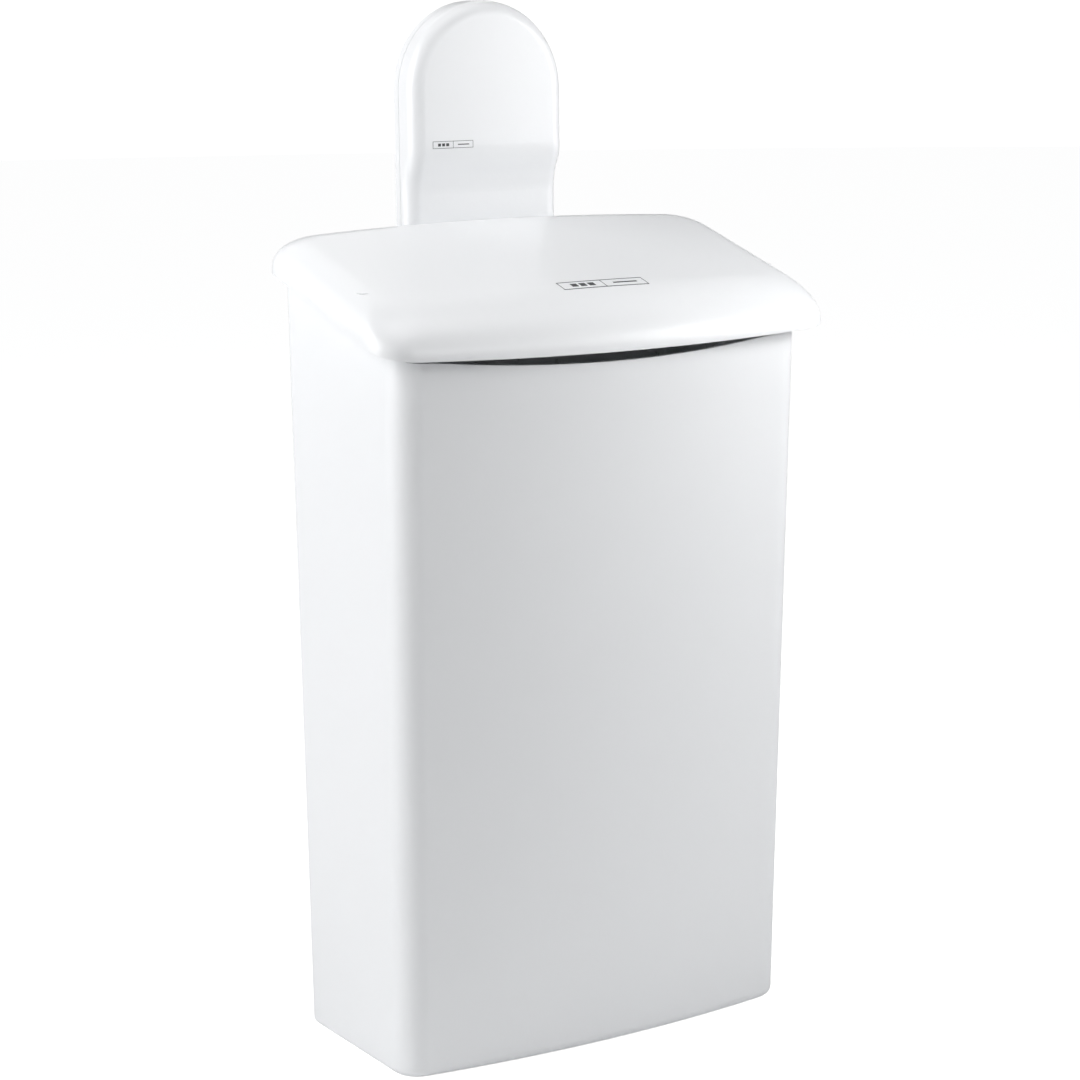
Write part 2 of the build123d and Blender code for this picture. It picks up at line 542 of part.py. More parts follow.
BACK_T = 2.4
CHEEK_X, CHEEK_T = DISP_R - COVER_T - 5.3, 3.0
TRAY_FOOT_HALF, TRAY_FOOT_T = 46.0, 3.2
SHELF_HALF, SHELF_T = 44.0, 2.0
CARTON_HALF, CARTON_D0, CARTON_D1, CARTON_Z0, CARTON_Z1 = 43.0, -3.4, 15.4, 592.0, 655.0
CARTON_T = 0.6


def tray_cheek(side):
    """An arm on the tray that carries one pivot pin."""
    x0, x1 = sorted((side * (CHEEK_X - CHEEK_T), side * CHEEK_X))
    arm = rod_x(x0, x1, PIVOT_Y, PIVOT_Z, PIVOT_ARM_R)
    arm += box(x0, x1, PIVOT_Y, WALL_Y - BACK_T / 2, PIVOT_Z - PIVOT_ARM_R, PIVOT_Z + PIVOT_ARM_R)
    return arm - rod_x(x0 - CHEEK_T, x1 + CHEEK_T, PIVOT_Y, PIVOT_Z, PIVOT_R + PIN_GRIP)


def dispenser_back():
    """The rear tray of the dispenser, with a foot that is screwed to the wall bracket."""
    tray = tongue(0.0, COVER_Z, SPLIT_BACK + 3 * FIT, WALL_GAP)
    tray -= tongue(COVER_T, COVER_Z + BACK_T, 0, WALL_GAP - BACK_T)
    foot_y = WALL_Y - BRACKET_T - FIT
    tray += box(-TRAY_FOOT_HALF, TRAY_FOOT_HALF, foot_y - TRAY_FOOT_T + FIT, foot_y,
                DISP_FOOT_Z, COVER_Z + BACK_T)
    tray += tray_cheek(-1) + tray_cheek(1)
    shelf_z = CARTON_Z0 - FIT
    tray += box(-SHELF_HALF, SHELF_HALF, BACK_Y + CARTON_D0, WALL_Y - BACK_T / 2,
                shelf_z - SHELF_T, shelf_z)
    for x in (-DISP_SCREW_X, DISP_SCREW_X):
        tray -= rod_y(x, BACK_Y, WALL_Y, DISP_SCREW_Z, SCREW_R + SCREW_PLAY)
    return tray


def dispenser_screws():
    """Two screws that hold the dispenser's foot to the wall bracket."""
    head_y = WALL_Y - BRACKET_T - TRAY_FOOT_T - HAIR
    return Compound([screw_y(x, head_y, DISP_SCREW_Z, FOOT_SCREW_L)
                     for x in (-DISP_SCREW_X, DISP_SCREW_X)])


def pivot_pin(side):
    """A steel pin between the dispenser's cheek and the cover's side."""
    x0, x1 = sorted((side * (CHEEK_X - CHEEK_T - 0.5), side * (DISP_R - 1.4)))
    return chamfer(rod_x(x0, x1, PIVOT_Y, PIVOT_Z, PIVOT_R).edges(), 0.3)


def carton_box(inset, x1, z1):
    """A box in the carton's place, inset from its outside, up to given right and upper ends."""
    return box(-CARTON_HALF + inset, x1, BACK_Y + CARTON_D0 + inset, BACK_Y + CARTON_D1 - inset,
               CARTON_Z0 + inset, z1)


def bag_carton():
    """The cardboard box of bags, open at its right end."""
    outside = carton_box(0.0, CARTON_HALF, CARTON_Z1)
    return outside - carton_box(CARTON_T, CARTON_HALF + CARTON_T, CARTON_Z1 - CARTON_T)


BAG_COUNT, BAG_GAP, BAG_SIDE_GAP = 8, 0.2, 1.5


def bag_stack():
    """The folded bags in the carton, each a flat packet a little shorter than the last."""
    first = BACK_Y + CARTON_D0 + CARTON_T + 2 * BAG_GAP
    pitch = (CARTON_D1 - CARTON_D0 - 2 * CARTON_T - 4 * BAG_GAP) / BAG_COUNT
    packets = []
    for i in range(BAG_COUNT):
        y0 = first + i * pitch
        uneven = BAG_GAP * (i % 3)
        packets.append(box(-CARTON_HALF + BAG_SIDE_GAP, CARTON_HALF - BAG_SIDE_GAP - uneven,
                           y0, y0 + pitch - BAG_GAP, CARTON_Z0 + 2 * CARTON_T,
                           CARTON_Z1 - 3 * CARTON_T - uneven))
    return Compound(packets)


def parts():
    """Every node by name."""
    made = {
        "bin_body": bin_body(), "rubber_feet": rubber_feet(), "rear_buffers": rear_buffers(),
        "bag_frame": bag_frame(), "liner_bag": liner_bag(), "bracket_screws": bracket_screws(),
        "hook_screws": hook_screws(), "lid_shell": lid_shell(), "leaf_screws": leaf_screws(),
        "lid_bumpers": lid_bumpers(), "wall_bracket": wall_bracket(),
        "dispenser_back": dispenser_back(), "dispenser_cover": dispenser_cover(),
        "dispenser_screws": dispenser_screws(), "bag_carton": bag_carton(), "bag_stack": bag_stack(),
    }
    for name, side in (("left", -1), ("right", 1)):
        made[f"hinge_bracket_{name}"] = hinge_bracket(side)
        made[f"hinge_pin_{name}"] = hinge_pin(side)
        made[f"hanger_hook_{name}"] = hanger_hook(side)
        made[f"hinge_leaf_{name}"] = hinge_leaf(side)
        made[f"pivot_pin_{name}"] = pivot_pin(side)
    return made


os.makedirs("parts", exist_ok=True)
for node, shape in parts().items():
    export_step(shape, f"parts/{node}.step")
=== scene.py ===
import json
import math

import bmesh
import bpy
from mathutils import Matrix, Vector, noise
from mathutils.bvhtree import BVHTree


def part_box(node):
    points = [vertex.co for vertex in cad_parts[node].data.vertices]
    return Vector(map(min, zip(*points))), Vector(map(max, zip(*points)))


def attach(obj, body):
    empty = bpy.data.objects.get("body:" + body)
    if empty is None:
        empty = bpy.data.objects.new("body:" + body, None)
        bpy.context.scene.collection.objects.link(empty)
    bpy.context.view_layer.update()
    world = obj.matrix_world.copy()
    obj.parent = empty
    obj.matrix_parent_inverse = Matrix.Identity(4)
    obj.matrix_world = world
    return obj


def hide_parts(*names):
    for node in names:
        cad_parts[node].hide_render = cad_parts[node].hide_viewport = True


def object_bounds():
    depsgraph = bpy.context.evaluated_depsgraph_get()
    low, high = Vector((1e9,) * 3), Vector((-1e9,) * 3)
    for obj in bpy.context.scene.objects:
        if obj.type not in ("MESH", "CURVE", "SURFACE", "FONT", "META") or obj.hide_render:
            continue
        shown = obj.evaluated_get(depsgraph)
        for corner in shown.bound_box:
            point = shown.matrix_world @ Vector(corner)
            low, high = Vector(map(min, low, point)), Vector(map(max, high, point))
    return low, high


# Looks for a wall-mounted waste bin with a lift-up lid and a bag dispenser behind it.
# Metres, +Z up, the bin's front faces -Y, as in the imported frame.

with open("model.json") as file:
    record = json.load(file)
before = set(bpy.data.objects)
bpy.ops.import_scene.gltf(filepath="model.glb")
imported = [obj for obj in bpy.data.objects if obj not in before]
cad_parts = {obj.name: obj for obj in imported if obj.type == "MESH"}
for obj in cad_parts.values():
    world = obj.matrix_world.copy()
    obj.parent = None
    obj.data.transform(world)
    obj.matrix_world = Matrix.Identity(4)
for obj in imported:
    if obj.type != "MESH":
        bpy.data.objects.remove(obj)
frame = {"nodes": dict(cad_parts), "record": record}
cad_low, cad_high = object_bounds()
MM = 0.001


# ---- material building blocks ----
def new_material(name):
    """A node material with its Principled shader, node tree and object coordinates."""
    material = bpy.data.materials.new(name)
    material.use_nodes = True
    tree = material.node_tree
    shader = tree.nodes["Principled BSDF"]
    coords = tree.nodes.new("ShaderNodeTexCoord").outputs["Object"]
    return material, tree, shader, coords


def noise_field(tree, coords, scale, detail=2.0, stretch=(1, 1, 1)):
    """A noise value from 0 to 1; scale is in cells per metre."""
    mapping = tree.nodes.new("ShaderNodeMapping")
    mapping.inputs["Scale"].default_value = [scale * s for s in stretch]
    texture = tree.nodes.new("ShaderNodeTexNoise")
    texture.inputs["Scale"].default_value = 1.0
    texture.inputs["Detail"].default_value = detail
    tree.links.new(coords, mapping.inputs["Vector"])
    tree.links.new(mapping.outputs["Vector"], texture.inputs["Vector"])
    return texture.outputs["Fac"]


def remap(tree, value, low, high, to_low, to_high):
    """value clamped to low..high and stretched to to_low..to_high."""
    node = tree.nodes.new("ShaderNodeMapRange")
    node.interpolation_type = "SMOOTHSTEP"
    for socket, number in zip(("From Min", "From Max", "To Min", "To Max"),
                              (low, high, to_low, to_high)):
        node.inputs[socket].default_value = number
    tree.links.new(value, node.inputs["Value"])
    return node.outputs["Result"]


def add(tree, a, b):
    """The sum of two values."""
    node = tree.nodes.new("ShaderNodeMath")
    node.operation = "ADD"
    tree.links.new(a, node.inputs[0])
    tree.links.new(b, node.inputs[1])
    return node.outputs["Value"]


def tint(tree, factor, colour_a, colour_b):
    """A colour that goes from colour_a to colour_b with factor."""
    node = tree.nodes.new("ShaderNodeMix")
    node.data_type = "RGBA"
    node.inputs["A"].default_value = (*colour_a, 1)
    node.inputs["B"].default_value = (*colour_b, 1)
    tree.links.new(factor, node.inputs["Factor"])
    return node.outputs["Result"]


def bump(tree, shader, layers):
    """Chains bump layers, each (height value, depth in metres), into the shader's normal."""
    previous = None
    for height, depth in layers:
        node = tree.nodes.new("ShaderNodeBump")
        node.inputs["Distance"].default_value = depth
        tree.links.new(height, node.inputs["Height"])
        if previous:
            tree.links.new(previous, node.inputs["Normal"])
        previous = node.outputs["Normal"]
    tree.links.new(previous, shader.inputs["Normal"])


def moulded_plastic(name, colour, roughness, peel, coat):
    """Moulded plastic: faint colour drift, orange peel, soft sinks, rubbed patches and hairlines."""
    material, tree, shader, coords = new_material(name)
    drift = noise_field(tree, coords, 9.0)
    darker = [c * 0.985 for c in colour]
    tree.links.new(tint(tree, drift, colour, darker), shader.inputs["Base Color"])
    rubbed = noise_field(tree, coords, 14.0, 2.0)
    hairlines = noise_field(tree, coords, 260.0, 3.0, (1.0, 1.0, 0.04))
    rough = add(tree, remap(tree, rubbed, 0.3, 0.8, roughness, roughness + 0.04),
                remap(tree, hairlines, 0.66, 0.76, 0.0, 0.02))
    tree.links.new(rough, shader.inputs["Roughness"])
    sinks = noise_field(tree, coords, 16.0, 1.0)
    orange_peel = noise_field(tree, coords, 420.0, 1.0)
    bump(tree, shader, [(sinks, 0.00006), (orange_peel, peel)])
    shader.inputs["IOR"].default_value = 1.5
    shader.inputs["Coat Weight"].default_value = coat
    shader.inputs["Coat Roughness"].default_value = 0.28
    return material


def pressed_steel(name, colour, roughness, grain):
    """Metal with a drawn grain and cloudy plating."""
    material, tree, shader, coords = new_material(name)
    cloud = noise_field(tree, coords, 60.0, 4.0)
    pale = [min(1.0, c * 1.12) for c in colour]
    tree.links.new(tint(tree, cloud, colour, pale), shader.inputs["Base Color"])
    lines = noise_field(tree, coords, 2600.0, 2.0, (1.0, 1.0, 0.03))
    tree.links.new(remap(tree, lines, 0.3, 0.7, roughness, roughness + 0.14),
                   shader.inputs["Roughness"])
    bump(tree, shader, [(lines, grain)])
    shader.inputs["Metallic"].default_value = 1.0
    return material


def rubber_material():
    """Dark moulded rubber with a fine grain and a dusty bloom."""
    material, tree, shader, coords = new_material("rubber")
    bloom = noise_field(tree, coords, 90.0, 5.0)
    tree.links.new(tint(tree, bloom, (0.035, 0.035, 0.037), (0.075, 0.075, 0.078)),
                   shader.inputs["Base Color"])
    tree.links.new(remap(tree, bloom, 0.3, 0.7, 0.62, 0.82), shader.inputs["Roughness"])
    bump(tree, shader, [(noise_field(tree, coords, 1900.0, 2.0), 0.00005)])
    return material


def film_material(name, colour, see_through, crinkle):
    """Thin polyethylene film: milky, soft sheen, fine crinkles."""
    material, tree, shader, coords = new_material(name)
    haze = noise_field(tree, coords, 40.0, 4.0)
    tree.links.new(tint(tree, haze, colour, [c * 0.94 for c in colour]),
                   shader.inputs["Base Color"])
    tree.links.new(remap(tree, haze, 0.3, 0.7, 0.26, 0.4), shader.inputs["Roughness"])
    bump(tree, shader, [(noise_field(tree, coords, 120.0, 5.0), crinkle),
                        (noise_field(tree, coords, 900.0, 2.0), crinkle * 0.1)])
    shader.inputs["Transmission Weight"].default_value = see_through
    shader.inputs["IOR"].default_value = 1.2
    return material


def board_material():
    """Uncoated white-lined board: fibres, flecks and a soft matt surface."""
    material, tree, shader, coords = new_material("carton_board")
    fibres = noise_field(tree, coords, 1400.0, 4.0, (0.2, 1.0, 1.0))
    flecks = remap(tree, noise_field(tree, coords, 700.0, 1.0), 0.68, 0.74, 0.0, 1.0)
    base = tint(tree, fibres, (0.74, 0.72, 0.68), (0.66, 0.64, 0.59))
    node = tree.nodes.new("ShaderNodeMix")
    node.data_type = "RGBA"
    node.inputs["B"].default_value = (0.42, 0.38, 0.31, 1)
    tree.links.new(flecks, node.inputs["Factor"])
    tree.links.new(base, node.inputs["A"])
    tree.links.new(node.outputs["Result"], shader.inputs["Base Color"])
    shader.inputs["Roughness"].default_value = 0.85
    bump(tree, shader, [(fibres, 0.00006)])
    return material


def ink_material():
    """Pad-printed dark grey ink, slightly uneven."""
    material, tree, shader, coords = new_material("print_ink")
    specks = noise_field(tree, coords, 3000.0, 2.0)
    tree.links.new(tint(tree, specks, (0.03, 0.032, 0.036), (0.06, 0.062, 0.066)),
                   shader.inputs["Base Color"])
    tree.links.new(remap(tree, specks, 0.3, 0.7, 0.34, 0.5), shader.inputs["Roughness"])
    return material


WHITE = (0.86, 0.87, 0.885)
MATERIALS = {
    "bin_plastic": moulded_plastic("bin_plastic", WHITE, 0.36, 0.00003, 0.1),
    "lid_plastic": moulded_plastic("lid_plastic", WHITE, 0.32, 0.00003, 0.12),
    "dispenser_plastic": moulded_plastic("dispenser_plastic", WHITE, 0.32, 0.00003, 0.12),
    "frame_plastic": moulded_plastic("frame_plastic", (0.5, 0.52, 0.54), 0.42, 0.0001, 0.0),
    "rubber": rubber_material(),
    "zinc_steel": pressed_steel("zinc_steel", (0.6, 0.62, 0.64), 0.3, 0.00003),
    "stainless": pressed_steel("stainless", (0.66, 0.66, 0.65), 0.2, 0.00001),
    "bag_film": film_material("bag_film", (0.86, 0.88, 0.9), 0.2, 0.00025),
    "carton_board": board_material(),
    "hygiene_film": film_material("hygiene_film", (0.7, 0.78, 0.83), 0.1, 0.00025),
}
INK = ink_material()


def dress_cad_nodes():
    """Gives every CAD node the material of its record slot."""
    for entry in frame["record"]["subparts"]:
        node = frame["nodes"].get(entry["node"])
        if node is None:
            continue
        node.data.materials.clear()
        node.data.materials.append(MATERIALS[entry["material_slot"]])


# ---- mesh helpers ----
RIGHT = Vector((1, 0, 0))
BACKWARD = Vector((0, 1, 0))
UPWARD = Vector((0, 0, 1))


def new_object(name, data):
    """A new object in the scene's collection."""
    made = bpy.data.objects.new(name, data)
    bpy.context.scene.collection.objects.link(made)
    return made


def finish_piece(shape, name, body, material, replaced=(), sharp_deg=40):
    """Turns a bmesh into a smooth-shaded piece that rides on a body."""
    bmesh.ops.recalc_face_normals(shape, faces=shape.faces)
    for edge in shape.edges:
        edge.smooth = edge.calc_face_angle(math.pi) < math.radians(sharp_deg)
    for face in shape.faces:
        face.smooth = True
    mesh = bpy.data.meshes.new(name)
    shape.to_mesh(mesh)
    shape.free()
    mesh.materials.append(material)
    piece = new_object(name, mesh)
    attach(piece, body)
    if replaced:
        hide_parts(*replaced)
    return piece


def loft(shape, rings):
    """Quads between closed rings of points; returns the rings of vertices."""
    made = [[shape.verts.new(point) for point in ring] for ring in rings]
    for a, b in zip(made, made[1:]):
        for k in range(len(a)):
            n = (k + 1) % len(a)
            shape.faces.new((a[k], a[n], b[n], b[k]))
    return made


def capped_loft(shape, rings):
    """A loft that is closed by a face at both ends."""
    made = loft(shape, rings)
    shape.faces.new(made[0][::-1])
    shape.faces.new(made[-1])


def bar(shape, points, half, across):
    """A bar whose side outline is points, widened by half to both sides along across."""
    left, right = ([shape.verts.new(p + across * d) for p in points] for d in (-half, half))
    for k in range(len(points)):
        n = (k + 1) % len(points)
        shape.faces.new((left[k], left[n], right[n], right[k]))
    shape.faces.new(left[::-1])
    shape.faces.new(right)


# ---- lid ----
LID_LOW, LID_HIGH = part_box("lid_shell")
LID_HALF, LID_FRONT, LID_BACK = LID_HIGH.x, LID_LOW.y, LID_HIGH.y
LID_BOW, LID_WALL = 12.5 * MM, 2.6 * MM
LID_FRONT_CORNER, LID_BACK_CORNER = 25 * MM, 20 * MM
LID_SLOPE = 0.2928
LID_COS = math.cos(math.atan(LID_SLOPE))
LID_MID_T, LID_SIDE_T = 27 * MM, 21.5 * MM
# width and height of the rolled edge, and the corner radii of the roof inside it
ROLL_FRONT = (38 * MM, 25.5 * MM)
ROLL_SIDE = (24 * MM, 18.5 * MM)
ROLL_BACK = (21 * MM, 20 * MM)
ROOF_FRONT_CORNER, ROOF_BACK_CORNER = 26 * MM, 18 * MM
ROLL_STEPS = 18
RIM_UPRIGHT = 1.5 * MM
# points along each stretch of the outline
HALF_SIDE_STEPS, CORNER_STEPS, FRONT_STEPS = 16, 16, 64
# ribs under the roof
RIB_XS = (-75 * MM, 0.0, 75 * MM)
RIB_FRONT, RIB_BACK = LID_FRONT + 16 * MM, LID_BACK - 19 * MM
RIB_HALF, RIB_DEPTH, RIB_OVERLAP = 0.8 * MM, 5 * MM, 0.4 * MM
RIB_STEPS, RIB_END_STEPS = 40, 4
# posts under the roof: heights of the tip's chamfer and of the flare, and shares of the radius
POST_SIDES = 32
POST_CHAMFER, FLARE_START, FLARE_END, POST_OVERLAP = 0.4 * MM, 2.4 * MM, 0.8 * MM, 0.3 * MM
POST_TIP, POST_NECK, POST_FOOT = 0.9, 1.15, 1.5
BOSS_RADIUS, BOSS_LENGTH, BOSS_FROM_BACK = 4.2 * MM, 2.4 * MM, (24 * MM, 35 * MM)
BUMPER_RADIUS, BUMPER_GAP = 4 * MM, 0.1 * MM
# clearance round the hinge brackets
NOTCH_PLAY, NOTCH_RADIUS, NOTCH_DEPTH, NOTCH_PAST = 0.5 * MM, 6 * MM, 50 * MM, 5 * MM
NOTCH_CORNER_Y, NOTCH_CORNER_Z, NOTCH_TOP = 4.5 * MM, 4 * MM, 3.2 * MM
PIN_LOW, PIN_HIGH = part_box("hinge_pin_left")
PIN_Y, PIN_Z = (PIN_LOW.y + PIN_HIGH.y) / 2, (PIN_LOW.z + PIN_HIGH.z) / 2


def lid_rim_z(y):
    """Height of the lid's lower rim at a depth y; its lowest point is the front."""
    return LID_LOW.z + LID_SLOPE * (y - LID_FRONT)


def arc(centre, radius, start, end, steps):
    """Points on an arc between two angles, without the last one."""
    angles = (start + (end - start) * k / steps for k in range(steps))
    return [Vector((centre[0] + radius * math.cos(a), centre[1] + radius * math.sin(a)))
            for a in angles]


def straight(a, b, steps):
    """Points on a line from a to b, without the last one."""
    return [a.lerp(b, k / steps) for k in range(steps)]


def lid_outline(side, front_in, back_in, r, q):
    """The lid's plan outline, moved in by side, front and back insets, with corner radii r and q.

    It runs anticlockwise from the middle of the left side.
    """
    half, front, back = LID_HALF - side, LID_FRONT + front_in, LID_BACK - back_in
    bow_r = (LID_HALF ** 2 + LID_BOW ** 2) / (2 * LID_BOW) - front_in
    bow_y = front + bow_r
    corner_x, corner_y = half - r, bow_y - math.sqrt((bow_r - r) ** 2 - (half - r) ** 2)
    turn = math.atan2(corner_y - bow_y, corner_x)
    mid_y = (LID_FRONT + LID_BACK) / 2
    points = straight(Vector((-half, mid_y)), Vector((-half, corner_y)), HALF_SIDE_STEPS)
    points += arc((-corner_x, corner_y), r, math.pi, math.pi - turn, CORNER_STEPS)
    points += arc((0, bow_y), bow_r, -math.pi - turn, turn, FRONT_STEPS)
    points += arc((corner_x, corner_y), r, turn, 0, CORNER_STEPS)
    points += straight(Vector((half, corner_y)), Vector((half, back - q)), 2 * HALF_SIDE_STEPS)
    points += arc((half - q, back - q), q, 0, math.pi / 2, CORNER_STEPS)
    points += straight(Vector((half - q, back)), Vector((q - half, back)), FRONT_STEPS)
    points += arc((q - half, back - q), q, math.pi / 2, math.pi, CORNER_STEPS)
    points += straight(Vector((-half, back - q)), Vector((-half, mid_y)), HALF_SIDE_STEPS)
    return points


def lid_thickness(x):
    """The lid's height over its rim plane: crowned across its width."""
    return LID_MID_T - (LID_MID_T - LID_SIDE_T) * (x / LID_HALF) ** 2


def roll_height(normal, x):
    """Height of the rolled edge where the outline faces along normal, at x."""
    front, back = max(0.0, -normal.y) ** 2, max(0.0, normal.y) ** 2
    side = 1 - front - back
    high = ROLL_FRONT[1] * front + ROLL_SIDE[1] * side + ROLL_BACK[1] * back
    return min(high, lid_thickness(x) - RIM_UPRIGHT)


def lid_surface(x, y, inset, drop=0.0):
    """A point of the lid's outer surface, or of its inner one with an inset."""
    return Vector((x, y, lid_rim_z(y) + (lid_thickness(x) - inset + drop) / LID_COS))


def lid_rings(inset):
    """Rings of the lid's outer (or, inset, inner) surface, from its rim to the roof's edge."""
    outline = lid_outline(inset, inset, inset, LID_FRONT_CORNER - inset, LID_BACK_CORNER - inset)
    roof = lid_outline(ROLL_SIDE[0], ROLL_FRONT[0], ROLL_BACK[0], ROOF_FRONT_CORNER,
                       ROOF_BACK_CORNER)
    rings = [[Vector((p.x, p.y, lid_rim_z(p.y))) for p in outline]]
    for step in range(ROLL_STEPS + 1):
        angle = math.pi / 2 * step / ROLL_STEPS
        ring = []
        for k, (point, target) in enumerate(zip(outline, roof)):
            along = outline[(k + 1) % len(outline)] - outline[k - 1]
            normal = Vector((along.y, -along.x)).normalized()
            high = roll_height(normal, point.x) - inset
            x, y = point.lerp(target, 1 - math.cos(angle))
            ring.append(lid_surface(x, y, inset, high * (math.sin(angle) - 1)))
        rings.append(ring)
    return rings


def roof_sides(ring):
    """The ring as four sides: front and back from left to right, left and right from the front."""
    count = len(ring)
    first = HALF_SIDE_STEPS + CORNER_STEPS // 2
    across, deep = FRONT_STEPS + CORNER_STEPS, 2 * HALF_SIDE_STEPS + CORNER_STEPS
    front = [ring[(first + i) % count] for i in range(across + 1)]
    right = [ring[(first + across + j) % count] for j in range(deep + 1)]
    back = [ring[(first + across + deep + across - i) % count] for i in range(across + 1)]
    left = [ring[(first - j) % count] for j in range(deep + 1)]
    return front, right, back, left


def fill_roof(shape, ring, inset):
    """Fills the roof inside the last ring with a regular patch of quads."""
    front, right, back, left = roof_sides(ring)
    across, deep = len(front) - 1, len(left) - 1
    grid = [left]
    for i in range(1, across):
        line = [front[i]]
        for j in range(1, deep):
            u, v = i / across, j / deep
            place = (front[i].co * (1 - v) + back[i].co * v + left[j].co * (1 - u)
                     + right[j].co * u - front[0].co * (1 - u) * (1 - v)
                     - front[-1].co * u * (1 - v) - back[0].co * (1 - u) * v
                     - back[-1].co * u * v)
            line.append(shape.verts.new(lid_surface(place.x, place.y, inset)))
        grid.append([*line, back[i]])
    grid.append(right)
    for a, b in zip(grid, grid[1:]):
        for j in range(deep):
            shape.faces.new((a[j], b[j], b[j + 1], a[j + 1]))


def lid_inner_z(x, y):
    """Height of the lid's inner roof, away from its side and back rolls."""
    wide, high = (size - LID_WALL for size in ROLL_FRONT)
    bow = LID_BOW * (x / LID_HALF) ** 2
    s = min(max(y - LID_FRONT - bow - LID_WALL, 0.0), wide)
    drop = high * (math.sqrt(1 - (1 - s / wide) ** 2) - 1)
    return lid_rim_z(y) + (lid_thickness(x) - LID_WALL + drop) / LID_COS


def rib(shape, x):
    """A stiffening rib under the roof, with a rounded start and end."""
    upper, lower = [], []
    for k in range(RIB_STEPS + 1):
        y = RIB_FRONT + (RIB_BACK - RIB_FRONT) * k / RIB_STEPS
        reach = min(1.0, min(k, RIB_STEPS - k) / RIB_END_STEPS)
        roof_z = lid_inner_z(x, y)
        upper.append(Vector((x, y, roof_z + RIB_OVERLAP)))
        lower.append(Vector((x, y, roof_z - RIB_DEPTH * math.sqrt(reach * (2 - reach)))))
    bar(shape, upper + lower[::-1], RIB_HALF, RIGHT)


def post(shape, x, y, low_z, radius, axis):
    """A round post from low_z up into the lid's roof, flared where it meets the roof."""
    high_z = lid_inner_z(x, y)
    side = axis.orthogonal().normalized()
    other = axis.cross(side)
    profile = [(low_z, POST_TIP), (low_z + POST_CHAMFER, 1.0), (high_z - FLARE_START, 1.0),
               (high_z - FLARE_END, POST_NECK), (high_z + POST_OVERLAP, POST_FOOT)]
    rings = []
    for z, share in profile:
        centre = Vector((x, y, low_z)) + axis * ((z - low_z) / axis.z)
        rings.append([centre + (side * math.cos(a) + other * math.sin(a)) * radius * share
                      for a in (math.tau * k / POST_SIDES for k in range(POST_SIDES))])
    capped_loft(shape, rings)


def notch_outline(x):
    """Side outline of the clearance round a hinge bracket: a slot below, a round eye on top."""
    back, low_z = LID_BACK + NOTCH_PAST, LID_HIGH.z - NOTCH_DEPTH
    front = PIN_Y - NOTCH_CORNER_Y
    outline = [(back, low_z), (front, low_z), (front, PIN_Z - NOTCH_CORNER_Z),
               (PIN_Y - NOTCH_RADIUS, PIN_Z), (front, PIN_Z + NOTCH_CORNER_Z),
               (PIN_Y, PIN_Z + NOTCH_RADIUS), (PIN_Y + NOTCH_CORNER_Y, PIN_Z + NOTCH_CORNER_Z),
               (back, PIN_Z + NOTCH_TOP)]
    return [Vector((x, y, z)) for y, z in outline]


def cut_notches(lid):
    """Cuts the clearance for the hinge brackets out of the lid's back wall."""
    shape = bmesh.new()
    for node in ("hinge_bracket_left", "hinge_bracket_right"):
        low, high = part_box(node)
        bar(shape, notch_outline((low.x + high.x) / 2), (high.x - low.x) / 2 + NOTCH_PLAY, RIGHT)
    bmesh.ops.recalc_face_normals(shape, faces=shape.faces)
    mesh = bpy.data.meshes.new("notch_cutter")
    shape.to_mesh(mesh)
    shape.free()
    cutter = new_object("notch_cutter", mesh)
    boolean = lid.modifiers.new("notches", "BOOLEAN")
    boolean.object, boolean.operation, boolean.solver = cutter, "DIFFERENCE", "EXACT"
    bpy.context.view_layer.update()
    cut = bpy.data.meshes.new_from_object(lid.evaluated_get(bpy.context.evaluated_depsgraph_get()))
    lid.modifiers.clear()
    lid.data = cut
    bpy.data.objects.remove(cutter)


def build_ribs():
    """The ribs, screw bosses and bumper posts under the lid's roof."""
    shape = bmesh.new()
    for x in RIB_XS:
        rib(shape, x)
    square = Vector((0, -LID_SLOPE, 1)).normalized()
    for node in ("hinge_leaf_left", "hinge_leaf_right"):
        low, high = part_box(node)
        for from_back in BOSS_FROM_BACK:
            y = LID_BACK - from_back
            low_z = lid_inner_z(low.x, y) - BOSS_LENGTH
            post(shape, (low.x + high.x) / 2, y, low_z, BOSS_RADIUS, square)
    low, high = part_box("lid_bumpers")
    for x in (low.x + BUMPER_RADIUS, high.x - BUMPER_RADIUS):
        post(shape, x, (low.y + high.y) / 2, high.z + BUMPER_GAP, BUMPER_RADIUS, UPWARD)
    finish_piece(shape, "lid_ribs", "lid", MATERIALS["lid_plastic"], ())


def build_lid():
    """The cushion-shaped lid: soft rolled edges, open below, notched for the hinges."""
    shape = bmesh.new()
    outer = loft(shape, lid_rings(0.0))
    fill_roof(shape, outer[-1], 0.0)
    inner = loft(shape, lid_rings(LID_WALL))
    fill_roof(shape, inner[-1], LID_WALL)
    outer_rim, inner_rim = outer[0], inner[0]
    for k in range(len(outer_rim)):
        n = (k + 1) % len(outer_rim)
        shape.faces.new((outer_rim[k], inner_rim[k], inner_rim[n], outer_rim[n]))
    lid = finish_piece(shape, "lid_moulding", "lid", MATERIALS["lid_plastic"], ["lid_shell"])
    cut_notches(lid)
    return lid


# ---- printed marks ----
PRINT_H, PRINT_STEP, PRINT_RAY_START = 0.12 * MM, 1.5 * MM, 20 * MM
# left, bottom, right, top as shares of the mark: a frame, a divider and plain bars
MARK_BARS = [
    (0.0, 0.0, 1.0, 0.06), (0.0, 0.94, 1.0, 1.0),
    (0.0, 0.06, 0.009, 0.94), (0.991, 0.06, 1.0, 0.94), (0.5, 0.06, 0.508, 0.94),
    (0.13, 0.3, 0.2, 0.7), (0.23, 0.3, 0.3, 0.7), (0.33, 0.3, 0.4, 0.7),
    (0.62, 0.42, 0.9, 0.56),
]
